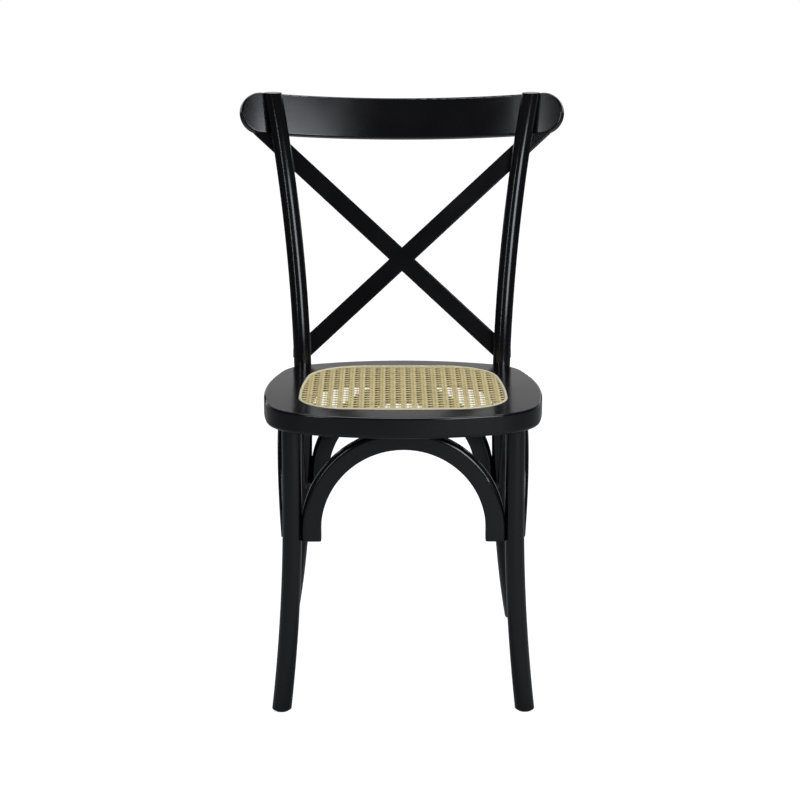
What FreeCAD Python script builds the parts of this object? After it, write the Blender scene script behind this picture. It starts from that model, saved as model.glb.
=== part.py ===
"""Cross back dining chair with a cane seat, as a parametric assembly.

The frame is bent and turned wood: a solid seat ring on two sabre front legs, two rear posts
that run in one piece from the floor to the crest rail, two straight slats that cross behind the
posts, and four bent arches under the seat. The seat is woven cane held in a groove by a spline.

Millimetres. +X is to the right as seen from the front, +Y is to the rear, +Z is up.
The origin is on the floor, under the middle of the chair's outline.
"""
import FreeCAD, Part
import math
import os
import Sketcher
from FreeCAD import Placement, Rotation, Vector

doc = FreeCAD.newDocument("cross_back_chair")

# Driving sizes. Setbacks are measured from the seat's front line towards the rear.
SIZES = [
    ("front_line", 268.5, "origin to the seat's front line"),
    ("seat_height", 460.0, "floor to the top of the seat"),
    ("seat_thickness", 31.5, "seat ring thickness"),
    ("seat_width", 419.6, "seat outline width"),
    ("seat_depth", 410.0, "seat outline depth"),
    ("seat_widest", 182.0, "setback of the seat's widest line"),
    ("seat_front_radius", 420.0, "radius of the seat's front edge"),
    ("seat_side_radius", 530.0, "radius of the seat's sides"),
    ("seat_rear_radius", 370.0, "radius of the seat's rear edge"),
    ("seat_front_corner", 92.0, "radius of the front corners"),
    ("seat_rear_corner", 77.0, "radius of the rear corners"),
    ("seat_top_round", 3.0, "rounding of the seat's upper edge"),
    ("seat_under_round", 5.5, "rounding of the seat's lower edge"),
    ("cane_margin", 56.0, "seat's front line to the spline"),
    ("cane_width", 313.0, "width over the spline"),
    ("cane_depth", 310.0, "depth over the spline"),
    ("cane_widest", 160.0, "setback of the cane's widest line"),
    ("cane_front_radius", 900.0, "radius of the spline's front run"),
    ("cane_side_radius", 1000.0, "radius of the spline's side runs"),
    ("cane_rear_radius", 1300.0, "radius of the spline's rear run"),
    ("cane_front_corner", 77.0, "radius of the spline's front corners"),
    ("cane_rear_corner", 90.0, "radius of the spline's rear corners"),
    ("groove_width", 6.0, "width of the spline groove"),
    ("groove_depth", 7.0, "depth of the spline groove"),
    ("ledge_width", 9.0, "ledge inside the groove that carries the cane"),
    ("cane_thickness", 1.4, "thickness of the woven cane"),
    ("cane_pitch", 17.2, "spacing of the cane's open holes"),
    ("cane_hole", 9.0, "width of an octagonal hole"),
    ("cane_border", 2.0, "closed border of the cane inside the groove"),
    ("lip_clearance", 1.5, "space under the spline and the cane's edge"),
    ("spline_round", 1.5, "rounding of the spline"),
    ("spline_proud", 1.2, "height of the spline above the seat"),
    ("fit_gap", 0.15, "clearance between fitted pieces"),
    ("leg_diameter", 29.0, "front leg diameter"),
    ("leg_spacing", 328.0, "distance between the front legs at the seat"),
    ("leg_setback", 60.0, "setback of the front legs at the seat"),
    ("leg_bend_drop", 108.5, "seat's underside to where a front leg starts to splay"),
    ("leg_bend_radius", 2300.0, "radius of a front leg's splay"),
    ("leg_splay_turn", 35.0, "splay direction, degrees forward from sideways"),
    ("foot_chamfer", 1.5, "chamfer round a foot"),
    ("tenon_diameter", 20.0, "front leg tenon diameter"),
    ("tenon_length", 19.0, "front leg tenon length"),
    ("post_diameter", 27.6, "rear post diameter"),
    ("post_spacing", 315.5, "distance between the posts at the seat"),
    ("post_setback", 380.0, "setback of the posts at the seat"),
    ("post_lower_drop", 80.0, "seat's top to where the lower bend starts, downwards"),
    ("post_lower_radius", 675.0, "radius of the lower bend"),
    ("post_lower_turn", 15.5, "direction of the lower bend, degrees outward from rearward"),
    ("post_upper_drop", 75.0, "seat's top to where the upper bend starts, downwards"),
    ("post_upper_radius", 1128.0, "radius of the upper bend"),
    ("post_upper_turn", 25.0, "direction of the upper bend, degrees outward from rearward"),
    ("crest_height", 66.2, "height of the crest rail's face"),
    ("crest_half_length", 262.0, "middle of the crest rail to the end of an ear, along the bend"),
    ("crest_thickness", 16.0, "crest rail thickness"),
    ("crest_radius", 645.0, "radius of the crest rail's hollow face"),
    ("crest_rake", 18.0, "lean of the crest rail, degrees"),
    ("crest_rise", 388.2, "seat's top to the crest rail's middle line at the posts"),
    ("crest_round", 3.0, "rounding of the crest rail's edges"),
    ("crest_let_in", 3.0, "depth of a post's seat in the crest rail"),
    ("post_top_rise", 2.0, "height of the post tops over the crest rail"),
    ("slat_width", 28.0, "cross slat width"),
    ("slat_thickness", 12.0, "cross slat thickness"),
    ("slat_slope", 42.8, "slope of a slat from level, degrees"),
    ("slat_cross_rise", 162.0, "seat's top to where the slats cross"),
    ("slat_low_rise", 22.0, "seat's top to a slat's lower seat on a post"),
    ("slat_high_rise", 331.0, "seat's top to a slat's upper seat on a post"),
    ("slat_round", 2.0, "rounding of a slat's long edges"),
    ("slat_let_in", 3.0, "depth of a post's seat in a slat"),
    ("slat_tip_over", 1.0, "reach of a slat's lower tip past the post"),
    ("slat_tip_rise", 8.5, "seat's top to a slat's lower tip"),
    ("arch_width", 29.5, "arch section across the curve"),
    ("arch_depth", 25.0, "arch section through the plane"),
    ("arch_drop", 166.5, "seat's underside to the arch ends"),
    ("arch_straight", 17.0, "straight part at each arch end"),
    ("arch_let_in", 1.3, "depth of a leg's seat in an arch end"),
    ("arch_round", 7.0, "rounding of an arch's outer edges"),
    ("arch_inner_round", 4.0, "rounding of an arch's inner edges"),
    ("arch_side_offset", 6.5, "side arches outward of the legs' centres"),
    ("arch_side_tilt", 3.2, "outward tilt of the side arches, degrees"),
    ("rear_arch_setback", 385.0, "setback of the rear arch"),
    ("glide_diameter", 20.0, "foot glide diameter"),
    ("glide_height", 2.0, "foot glide height"),
    ("glide_pin_diameter", 4.0, "foot glide pin diameter"),
    ("glide_pin_length", 10.0, "foot glide pin length"),
    ("screw_head", 8.0, "screw head diameter"),
    ("screw_shank", 4.0, "screw shank diameter"),
    ("screw_sink", 0.5, "depth of a screw head under the surface"),
    ("crest_screw_length", 24.0, "crest screw length"),
    ("crest_screw_spread", 32.0, "distance between the two screws on a post"),
    ("plug_diameter", 9.0, "wooden plug diameter"),
    ("plug_depth", 3.5, "wooden plug depth"),
    ("slat_screw_length", 24.0, "slat screw length"),
    ("cross_screw_length", 10.0, "screw length where the slats cross"),
    ("arch_end_screw_length", 40.0, "arch end screw length"),
    ("crown_screw_length", 38.0, "arch crown screw length"),
    ("crown_screw_sink", 1.0, "further depth of a crown screw's head"),
    ("crown_screw_spread", 44.0, "distance between the two screws of a crown"),
    ("bolt_diameter", 6.0, "seat bolt diameter"),
    ("bolt_length", 50.0, "seat bolt length under the head"),
    ("bolt_head", 12.0, "seat bolt head diameter"),
    ("bolt_head_height", 3.0, "seat bolt head height"),
    ("bolt_flat_depth", 4.0, "depth of the flat under a seat bolt's washer"),
    ("bolt_turn", 38.0, "seat bolt direction, degrees outward from rearward"),
    ("washer_diameter", 16.0, "seat bolt washer diameter"),
    ("washer_thickness", 1.2, "seat bolt washer thickness"),
    ("barrel_diameter", 10.0, "barrel nut diameter"),
    ("barrel_length", 18.0, "barrel nut length"),
]
sheet = doc.addObject("Spreadsheet::Sheet", "Sizes")
for row, (alias, value, note) in enumerate(SIZES, 1):
    sheet.set("A%d" % row, note)
    sheet.set("B%d" % row, str(value))
    sheet.setAlias("B%d" % row, alias)
doc.recompute()


def size(alias):
    """Value of a driving size."""
    return float(getattr(sheet, alias))


def above_seat(alias):
    """Height above the floor of something whose rise from the seat's top is a driving size."""
    return size("seat_height") + size(alias)


def below_seat(alias):
    return size("seat_height") - size(alias)


# Helpers for bodies and sketches.
def new_body(name, placement=Placement()):
    body = doc.addObject("PartDesign::Body", name)
    body.Placement = placement
    return body


def new_sketch(body, name, role="XY_Plane", height=None, turn=0.0, axis=Vector(0, 1, 0)):
    """Sketch on one of the body's origin planes, turned about one of its own axes and raised."""
    sketch = body.newObject("Sketcher::SketchObject", name)
    plane = [item for item in body.Origin.OriginFeatures if item.Role == role][0]
    sketch.AttachmentSupport = (plane, "")
    sketch.MapMode = "FlatFace"
    if turn:
        sketch.AttachmentOffset = Placement(Vector(), Rotation(axis, turn))
    if height:
        sketch.setExpression("AttachmentOffset.Base.z", height)
    return sketch


def bind(sketch, expression, kind, *arguments):
    """Add a dimension to a sketch and tie it to the sheet."""
    index = sketch.addConstraint(Sketcher.Constraint(kind, *arguments))
    sketch.setExpression("Constraints[%d]" % index, expression)


def fix(sketch, kind, *arguments):
    sketch.addConstraint(Sketcher.Constraint(kind, *arguments))


def feature(body, kind, sketch, length=None, midplane=False, reverse=False):
    """Pad or pocket of a sketch; without a length it goes through all."""
    item = body.newObject("PartDesign::" + kind, sketch.Name + "_" + kind.lower())
    item.Profile = sketch
    if length:
        item.setExpression("Length", length)
    else:
        item.Type = "ThroughAll"
    item.Midplane = midplane
    item.Reversed = reverse
    return item


def rounded(body, radius, wanted, kind="Fillet"):
    """Fillet or chamfer the edges of the body's tip that a test picks."""
    doc.recompute()
    tip = body.Tip
    names = ["Edge%d" % n for n, edge in enumerate(tip.Shape.Edges, 1) if wanted(edge)]
    item = body.newObject("PartDesign::" + kind, body.Name + "_" + kind.lower())
    item.Base = (tip, names)
    item.setExpression("Radius" if kind == "Fillet" else "Size", radius)
    return item


def circle(sketch, diameter):
    """Circle about the sketch's origin."""
    item = sketch.addGeometry(Part.Circle(Vector(), Vector(0, 0, 1), 5.0), False)
    fix(sketch, "Coincident", item, 3, -1, 1)
    bind(sketch, diameter, "Diameter", item, 10.0)


def bar(sketch, diameter, x, y, x_value, y_value):
    """Circle whose centre follows two expressions, with their values."""
    base = Part.Circle(Vector(x_value, y_value, 0), Vector(0, 0, 1), 5.0)
    item = sketch.addGeometry(base, False)
    bind(sketch, diameter, "Diameter", item, 10.0)
    bind(sketch, x, "DistanceX", -1, 1, item, 3, x_value)
    bind(sketch, y, "DistanceY", -1, 1, item, 3, y_value)


# Seat outlines: eight tangent arcs, symmetric about the Y axis. The same eight centres serve
# every line that runs parallel to the outline, with the radii less an inset.
OUTLINE_PARTS = ["front_radius", "front_corner", "side_radius", "rear_corner", "rear_radius"]


def corner_centre(first, first_radius, second, second_radius, radius, towards):
    """Centre of a small circle that touches two large ones from inside."""
    r_first, r_second = first_radius - radius, second_radius - radius
    across = second - first
    span = across.Length
    along = (r_first ** 2 - r_second ** 2 + span ** 2) / (2 * span)
    off = math.sqrt(r_first ** 2 - along ** 2)
    unit = across / span
    side = Vector(-unit.y, unit.x, 0)
    points = [first + unit * along + side * off, first + unit * along - side * off]
    return max(points, key=towards)


def outline_arcs(name, inset=0.0):
    """The eight arcs of an outline, counter-clockwise from the front edge."""
    radius = {part: size(name + "_" + part) for part in OUTLINE_PARTS}
    start = size("cane_margin") if name == "cane" else 0.0
    front = Vector(0, start + radius["front_radius"], 0)
    rear = Vector(0, start + size(name + "_depth") - radius["rear_radius"], 0)
    side = Vector(size(name + "_width") / 2 - radius["side_radius"], size(name + "_widest"), 0)
    front_corner = corner_centre(front, radius["front_radius"], side, radius["side_radius"],
                                 radius["front_corner"], lambda p: p.x - p.y)
    rear_corner = corner_centre(rear, radius["rear_radius"], side, radius["side_radius"],
                                radius["rear_corner"], lambda p: p.x + p.y)
    right = [front_corner, side, rear_corner]
    left = [Vector(-p.x, p.y, 0) for p in reversed(right)]
    centres = [front] + right + [rear] + left
    parts = OUTLINE_PARTS + OUTLINE_PARTS[3:0:-1]
    arcs = []
    for n, (centre, part) in enumerate(zip(centres, parts)):
        ends = []
        for other_n in (n - 1, (n + 1) % 8):
            other = centres[other_n]
            large, small = (centre, other) if radius[part] > radius[parts[other_n]] else (other, centre)
            ends.append(math.atan2(small.y - large.y, small.x - large.x))
        first, last = ends
        if last < first:
            last += 2 * math.pi
        base = Part.Circle(centre, Vector(0, 0, 1), radius[part] - inset)
        arcs.append(Part.ArcOfCircle(base, first, last))
    return arcs


def draw_outline(sketch, name, inset=None, inset_value=0.0):
    """Put an outline into a sketch and tie every arc to the sheet."""
    arcs = outline_arcs(name, inset_value)
    first = sketch.GeometryCount
    for arc in arcs:
        sketch.addGeometry(arc, False)
    for n in range(8):
        fix(sketch, "Tangent", first + n, 2, first + (n + 1) % 8, 1)
    for n, part in enumerate(OUTLINE_PARTS):
        less = " - (%s)" % inset if inset else ""
        bind(sketch, "Sizes.%s_%s%s" % (name, part, less), "Radius", first + n, arcs[n].Radius)
    for one, two in ((1, 7), (2, 6), (3, 5)):
        fix(sketch, "Equal", first + one, first + two)
    for n in (0, 4):
        fix(sketch, "PointOnObject", first + n, 3, -2)
    start = "Sizes.cane_margin + " if name == "cane" else ""
    across = "Sizes.%s_width / 2 - Sizes.%s_side_radius" % (name, name)
    heights = [(0, start + "Sizes.%s_front_radius" % name),
               (4, start + "Sizes.%s_depth - Sizes.%s_rear_radius" % (name, name)),
               (2, "Sizes.%s_widest" % name), (6, "Sizes.%s_widest" % name)]
    for n, expression in heights:
        bind(sketch, expression, "DistanceY", -1, 1, first + n, 3, arcs[n].Center.y)
    bind(sketch, across, "DistanceX", -1, 1, first + 2, 3, arcs[2].Center.x)
    bind(sketch, "-(%s)" % across, "DistanceX", -1, 1, first + 6, 3, arcs[6].Center.x)


# Centre lines of the legs and posts, on the +X side: place and direction at a height.
def bend(height, spacing, setback, low, low_radius, low_turn, high=None, high_radius=1, high_turn=0):
    """x, setback and unit direction upwards of a bent rod's centre line at a height."""
    radius, turn, rise = low_radius, low_turn, min(height - low, 0.0)
    if high is not None and height > high:
        radius, turn, rise = high_radius, high_turn, height - high
    shift = radius - math.sqrt(radius ** 2 - rise ** 2)
    slope = math.asin(rise / radius)
    outward, rearward = math.sin(math.radians(turn)), math.cos(math.radians(turn))
    x = spacing / 2 + shift * outward
    back = setback + shift * rearward
    up = Vector(math.sin(slope) * outward, math.sin(slope) * rearward, math.cos(slope))
    return x, back, up


def post_at(height):
    return bend(height, size("post_spacing"), size("post_setback"), below_seat("post_lower_drop"),
                size("post_lower_radius"), size("post_lower_turn"), below_seat("post_upper_drop"),
                size("post_upper_radius"), size("post_upper_turn"))


def leg_at(height):
    return bend(height, size("leg_spacing"), size("leg_setback"), LEG_BEND,
                size("leg_bend_radius"), 90.0 + size("leg_splay_turn"))


def behind_post(height):
    """Setback of a post's rear surface at a height."""
    x, back, up = post_at(height)
    return back + size("post_diameter") / 2 * math.sqrt(1 + (up.y / up.z) ** 2)


FRONT = -size("front_line")
UNDERSIDE = size("seat_height") - size("seat_thickness")
UNDER = "(Sizes.seat_height - Sizes.seat_thickness)"
LEG_BEND = UNDERSIDE - size("leg_bend_drop")
FOOT_TRIM = 6.0
HALF_TURN = 180.0
# Turns the seam of a leg's or post's surface away from every hole in it.
SEAM_TURN = 200.0
UP = Vector(0, 0, 1)

crest_middle = above_seat("crest_rise")
crest_x = post_at(crest_middle)[0]
crest_bow = size("crest_radius") - math.sqrt(size("crest_radius") ** 2 - crest_x ** 2)
crest_lean = math.radians(size("crest_rake"))
crest_face = behind_post(crest_middle) - size("crest_let_in")
CREST = Placement(Vector(0, FRONT + crest_face + crest_bow * math.cos(crest_lean),
                         crest_middle - crest_bow * math.sin(crest_lean)),
                  Rotation(Vector(1, 0, 0), -size("crest_rake")))

slat_low = behind_post(above_seat("slat_low_rise")) - size("slat_let_in")
slat_high = behind_post(above_seat("slat_high_rise")) - size("slat_let_in")
slat_lean = math.atan2(slat_high - slat_low, size("slat_high_rise") - size("slat_low_rise"))
slat_cross = slat_low + (size("slat_cross_rise") - size("slat_low_rise")) * math.tan(slat_lean)
SLATS = Placement(Vector(0, FRONT + slat_cross, above_seat("slat_cross_rise")),
                  Rotation(Vector(1, 0, 0), -math.degrees(slat_lean)))


# Bent rods. A leg or post is swept along a straight run and an arc; with a clearance added to
# its diameter the same rod is the tool that cuts its seat in what it touches.
def bent_path(body, name, turn, heights, radius, expressions):
    """Sketch of the run from the first height to the second, then an arc to the third."""
    sketch = new_sketch(body, name, "XZ_Plane", turn=turn)
    start, bend_from, end = heights
    upward = end > start
    span = size(radius)
    angle = math.asin(abs(end - bend_from) / span)
    run = Part.LineSegment(Vector(0, start, 0), Vector(0, bend_from, 0))
    base = Part.Circle(Vector(span, bend_from, 0), Vector(0, 0, 1), span)
    first, last = (math.pi - angle, math.pi) if upward else (math.pi, math.pi + angle)
    sketch.addGeometry(run, False)
    sketch.addGeometry(Part.ArcOfCircle(base, first, last), False)
    near, far = (2, 1) if upward else (1, 2)
    fix(sketch, "Tangent", 0, 2, 1, near)
    fix(sketch, "PointOnObject", 0, 1, -2)
    fix(sketch, "Vertical", 0)
    bind(sketch, expressions[0], "DistanceY", -1, 1, 0, 1, start)
    bind(sketch, expressions[1], "DistanceY", -1, 1, 0, 2, bend_from)
    bind(sketch, "Sizes." + radius, "Radius", 1, span)
    bind(sketch, expressions[2], "DistanceY", -1, 1, 1, far, end)
    return sketch


def pipe(body, profile, path):
    item = body.newObject("PartDesign::AdditivePipe", path.Name + "_pipe")
    item.Profile = profile
    item.Spine = (path, ["Edge1", "Edge2"])
    return item


def trim_foot(body, reach):
    """Cut a rod level above the floor, at the height of its glide."""
    sketch = new_sketch(body, body.Name + "_foot", height="Sizes.glide_height")
    circle(sketch, reach)
    return feature(body, "Pocket", sketch)


def at_height(height):
    """Test for an edge that lies level at a height."""
    def wanted(edge):
        return all(abs(vertex.Z - height) < 0.01 for vertex in edge.Vertexes) and \
            abs(edge.BoundBox.ZMax - height) < 0.01
    return wanted


def front_leg(name, side, clearance=""):
    """Round sabre leg: straight to the splay, with a tenon on top. side is 1 on +X, -1 on -X."""
    turn = -size("leg_splay_turn") if side > 0 else HALF_TURN + size("leg_splay_turn")
    place = Vector(side * size("leg_spacing") / 2, FRONT + size("leg_setback"), 0)
    body = new_body(name, Placement(place, Rotation()))
    path = bent_path(body, name + "_path", turn, (UNDERSIDE, LEG_BEND, -FOOT_TRIM),
                     "leg_bend_radius", (UNDER, UNDER + " - Sizes.leg_bend_drop", str(-FOOT_TRIM)))
    profile = new_sketch(body, name + "_section", height=UNDER, turn=SEAM_TURN, axis=UP)
    circle(profile, "Sizes.leg_diameter" + clearance)
    pipe(body, profile, path)
    if not clearance:
        trim_foot(body, "Sizes.leg_diameter * 8")
        rounded(body, "Sizes.foot_chamfer", at_height(size("glide_height")), "Chamfer")
        tenon = new_sketch(body, name + "_tenon", height=UNDER)
        circle(tenon, "Sizes.tenon_diameter")
        feature(body, "Pad", tenon, "Sizes.tenon_length")
    return body


def rear_post(name, side, clearance=""):
    """Round post in one piece, bent rearward above and below the seat."""
    place = Vector(side * size("post_spacing") / 2, FRONT + size("post_setback"), 0)
    body = new_body(name, Placement(place, Rotation()))
    low, high = below_seat("post_lower_drop"), below_seat("post_upper_drop")
    middle, top = (low + high) / 2, crest_middle + size("crest_height")
    low_name = "Sizes.seat_height - Sizes.post_lower_drop"
    high_name = "Sizes.seat_height - Sizes.post_upper_drop"
    middle_name = "(%s + %s) / 2" % (low_name, high_name)
    top_name = "Sizes.seat_height + Sizes.crest_rise + Sizes.crest_height"
    down = bent_path(body, name + "_down", 90.0 - side * size("post_lower_turn"), (middle, low, -FOOT_TRIM),
                     "post_lower_radius", (middle_name, low_name, str(-FOOT_TRIM)))
    up = bent_path(body, name + "_up", 90.0 - side * size("post_upper_turn"), (middle, high, top),
                   "post_upper_radius", (middle_name, high_name, top_name))
    profile = new_sketch(body, name + "_section", height=middle_name, turn=SEAM_TURN, axis=UP)
    circle(profile, "Sizes.post_diameter" + clearance)
    pipe(body, profile, down)
    pipe(body, profile, up)
    if not clearance:
        trim_foot(body, "Sizes.post_setback")
        rounded(body, "Sizes.foot_chamfer", at_height(size("glide_height")), "Chamfer")
    return body


# Tools and fasteners. A fastener group is one object that holds copies of one shape.
CLEAR = " + 2 * Sizes.fit_gap"
ACCESS = 4.0


def feature_of(label, shape):
    item = doc.addObject("Part::Feature", label)
    item.Shape = shape
    return item


def group(label, master, places):
    """Copies of a shape made along -Z, one for each start point and direction."""
    copies = []
    for point, direction in places:
        copy = master.copy()
        copy.Placement = Placement(point, Rotation(Vector(0, 0, -1), direction))
        copies.append(copy)
    return feature_of(label, Part.makeCompound(copies))


def revolved(points):
    """Solid turned about Z from (radius, height) points that start and end on the axis."""
    corners = [Vector(radius, 0, height) for radius, height in points]
    face = Part.Face(Part.makePolygon(corners + corners[:1]))
    return face.revolve(Vector(), Vector(0, 0, 1), 360)


def screw(length, clearance=0.0):
    """Countersunk wood screw, or the hole for one with room over its head."""
    head, shank = size("screw_head") / 2 + clearance, size("screw_shank") / 2 + clearance
    top = ACCESS if clearance else 0.0
    points = [(0, top), (head, top), (head, 0), (shank, shank - head),
              (shank, shank - length), (0, -length - clearance)]
    return revolved(points if clearance else points[:1] + points[2:])


def screws(label, length, places):
    """A group of screws, with their heads sunk a little, and the group of their holes."""
    places = [(point + direction * size("screw_sink"), direction) for point, direction in places]
    made = group(label, screw(size(length)), places)
    holes = group(label + "_holes", screw(size(length), size("fit_gap")), places)
    return made, holes


def rod(radius, start, end):
    """Cylinder shape along -Z between two depths."""
    return Part.makeCylinder(radius, end - start, Vector(0, 0, -end))


def fitted(label, base, tools):
    """A piece after its cuts: the base less each tool."""
    item = base
    for n, tool in enumerate(tools):
        cut = doc.addObject("Part::Cut", label if n == len(tools) - 1 else "%s_cut_%d" % (label, n))
        cut.Base = item
        cut.Tool = tool
        item = cut
    return item


PIECES = {}


def piece(label, item):
    """Name a finished sub-part; its label names its file."""
    item.Label = label
    PIECES[label] = item
    return item


# Rods first, with the clearance rods that cut their seats.
rods = {}
for side, word in ((1, "right"), (-1, "left")):
    rods["leg_" + word] = front_leg("leg_rod_" + word, side)
    rods["post_" + word] = rear_post("post_rod_" + word, side)
    rods["leg_" + word + "_room"] = front_leg("leg_room_" + word, side, CLEAR)
    rods["post_" + word + "_room"] = rear_post("post_room_" + word, side, CLEAR)
doc.recompute()


def cylinder(name, radius, height, placement):
    item = doc.addObject("Part::Cylinder", name)
    item.setExpression("Radius", radius)
    item.setExpression("Height", height)
    item.Placement = placement
    return item


def boolean(kind, name, base, tool):
    item = doc.addObject("Part::" + kind, name)
    item.Base = base
    item.Tool = tool
    return item


def filleted(name, base, radius, wanted):
    """Part fillet of the edges of a finished shape that a test picks."""
    doc.recompute()
    item = doc.addObject("Part::Fillet", name)
    item.Base = base
    item.Edges = [(n, radius, radius) for n, edge in enumerate(base.Shape.Edges, 1) if wanted(edge)]
    return item


# Crest rail: a strip bent round a ring, with semicircular ears cut square to the bend.
ear = size("crest_height") / 2
ear_turn = math.degrees((size("crest_half_length") - ear) / size("crest_radius"))
EAR_TURN = "(Sizes.crest_half_length - Sizes.crest_height / 2) / Sizes.crest_radius * 180 / pi"
ring_base = CREST.multiply(Placement(Vector(0, -size("crest_radius"), -ear),
                                     Rotation(Vector(0, 0, 1), 90 - ear_turn)))


def crest_ring(name, round_all):
    """Ring of the strip's thickness: all round, or only between the ears' centres."""
    walls = []
    for wall, radius in (("outside", "Sizes.crest_radius + Sizes.crest_thickness"),
                         ("hollow", "Sizes.crest_radius")):
        walls.append(cylinder(name + "_" + wall, radius, "Sizes.crest_height", ring_base))
    if not round_all:
        walls[0].setExpression("Angle", "2 * (%s)" % EAR_TURN)
    return boolean("Cut", name, walls[0], walls[1])


strip = crest_ring("crest_strip", False)
for side, word in ((1, "right"), (-1, "left")):
    ear_axis = CREST.multiply(Placement(Vector(0, -size("crest_radius"), 0),
                                        Rotation(Vector(0, 0, 1), -side * ear_turn)))
    ear_axis = ear_axis.multiply(Placement(Vector(), Rotation(Vector(1, 0, 0), -90)))
    block = cylinder("crest_ear_block_" + word, "Sizes.crest_height / 2",
                     "Sizes.crest_radius + 2 * Sizes.crest_thickness", ear_axis)
    block = boolean("Common", "crest_ear_" + word, block, crest_ring("crest_ear_ring_" + word, True))
    strip = boolean("Fuse", "crest_with_ear_" + word, strip, block)
strip.Refine = True


def on_crest_face(edge):
    """True for an edge that runs round the hollow or the outer face."""
    reaches = []
    for vertex in edge.Vertexes:
        local = ring_base.inverse().multVec(vertex.Point)
        reaches.append(math.hypot(local.x, local.y))
    return max(reaches) - min(reaches) < 0.01


strip = filleted("crest_rounded", strip, size("crest_round"), on_crest_face)


def post_in(frame, height, local_height):
    """Post centre seen from a leaning frame, at a height along that frame."""
    for step in range(8):
        x, back, up = post_at(height)
        local = frame.inverse().multVec(Vector(x, FRONT + back, height))
        height += (local_height - local.z) * up.z
    return local


crest_places, plug_places = [], []
axis = Vector(0, -size("crest_radius"), 0)
for side in (1, -1):
    for level in (0.5, -0.5):
        local = post_in(CREST, crest_middle, level * size("crest_screw_spread"))
        outward = Vector(local.x * side, local.y - axis.y, 0).normalize()
        back = axis + outward * (size("crest_radius") + size("crest_thickness")) + Vector(0, 0, local.z)
        direction = CREST.Rotation.multVec(-outward)
        crest_places.append((CREST.multVec(back - outward * size("plug_depth")), direction))
        plug_places.append((CREST.multVec(back), direction))
crest_screws, crest_holes = screws("crest_screws", "crest_screw_length", crest_places)
plug_radius = size("plug_diameter") / 2
crest_plugs = group("crest_plugs", rod(plug_radius - size("fit_gap"), 0, size("plug_depth")), plug_places)
plug_holes = group("crest_plugs_holes", rod(plug_radius, -ACCESS, size("plug_depth")), plug_places)

# The post tops are level, a little above the rail's upper edge beside them.
top_cut = doc.addObject("Part::Box", "post_top_trim")
top_cut.setExpression("Length", "2 * Sizes.crest_radius")
top_cut.setExpression("Width", "2 * Sizes.crest_radius")
top_cut.setExpression("Height", "2 * Sizes.crest_height")
post_top = crest_middle + ear * math.cos(crest_lean) + size("post_top_rise")
top_cut.Placement = Placement(Vector(-size("crest_radius"), 0, post_top), Rotation())
crest_cuts = [rods["post_right_room"], rods["post_left_room"], crest_holes, plug_holes]
piece("crest_rail", fitted("crest_rail", strip, crest_cuts))
piece("crest_screws", crest_screws)
piece("crest_plugs", crest_plugs)


# Cross slats: two straight strips in one leaning plane, half lapped where they cross.
def band_points(side, past):
    """Corners of a slat's face; side is 1 when it rises to +X."""
    slope = math.radians(size("slat_slope"))
    along = Vector(side * math.cos(slope), math.sin(slope), 0)
    across = Vector(-side * math.sin(slope), math.cos(slope), 0) * (size("slat_width") / 2)
    reach = post_at(above_seat("slat_low_rise"))[0] + size("post_diameter") / 2 + size("slat_tip_over")
    tip_x = -side * reach
    tip_y = (size("slat_tip_rise") - size("slat_cross_rise")) / math.cos(slat_lean)
    upper_y = across.y + (tip_x - across.x) / along.x * along.y
    lower_x = -across.x + (tip_y + across.y) / along.y * along.x
    end = along * past
    return [Vector(tip_x, tip_y, 0), Vector(lower_x, tip_y, 0), end - across, end + across,
            Vector(tip_x, upper_y, 0)]


def slat(name, side):
    body = new_body(name + "_strip", SLATS)
    face = new_sketch(body, name + "_face", "XZ_Plane")
    points = band_points(side, size("crest_half_length") * 1.6)
    for n in range(len(points)):
        face.addGeometry(Part.LineSegment(points[n], points[(n + 1) % len(points)]), False)
    feature(body, "Pad", face, "Sizes.slat_thickness", reverse=True)
    return body


def is_long(edge):
    return edge.Length > size("slat_width") * 3


lap_size = 3 * size("slat_width")
under_corner = Vector(-size("crest_radius"), -size("seat_depth") / 2, -ear)
under_cut = doc.addObject("Part::Box", "slat_top_trim")
under_cut.setExpression("Length", "2 * Sizes.crest_radius")
under_cut.setExpression("Width", "Sizes.seat_depth")
under_cut.setExpression("Height", "3 * Sizes.crest_height")
under_cut.Placement = CREST.multiply(Placement(under_corner, Rotation()))
slat_places = []
slat_forward = SLATS.Rotation.multVec(Vector(0, -1, 0))
for side in (1, -1):
    for height in (above_seat("slat_low_rise"), above_seat("slat_high_rise")):
        x, back, up = post_at(height)
        local = SLATS.inverse().multVec(Vector(x * side, FRONT + back, height))
        start = SLATS.multVec(Vector(local.x, size("slat_thickness"), local.z))
        slat_places.append((start, slat_forward))
slat_screws, slat_holes = screws("slat_screws", "slat_screw_length", slat_places)
cross_place = [(SLATS.multVec(Vector(0, size("slat_thickness"), 0)), slat_forward)]
cross_screw, cross_hole = screws("cross_screw", "cross_screw_length", cross_place)
piece("slat_screws", slat_screws)
piece("cross_screw", cross_screw)
strips = {}
for side, name in ((1, "cross_slat_right"), (-1, "cross_slat_left")):
    strips[name] = filleted(name + "_rounded", slat(name, side), size("slat_round"), is_long)
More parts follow.
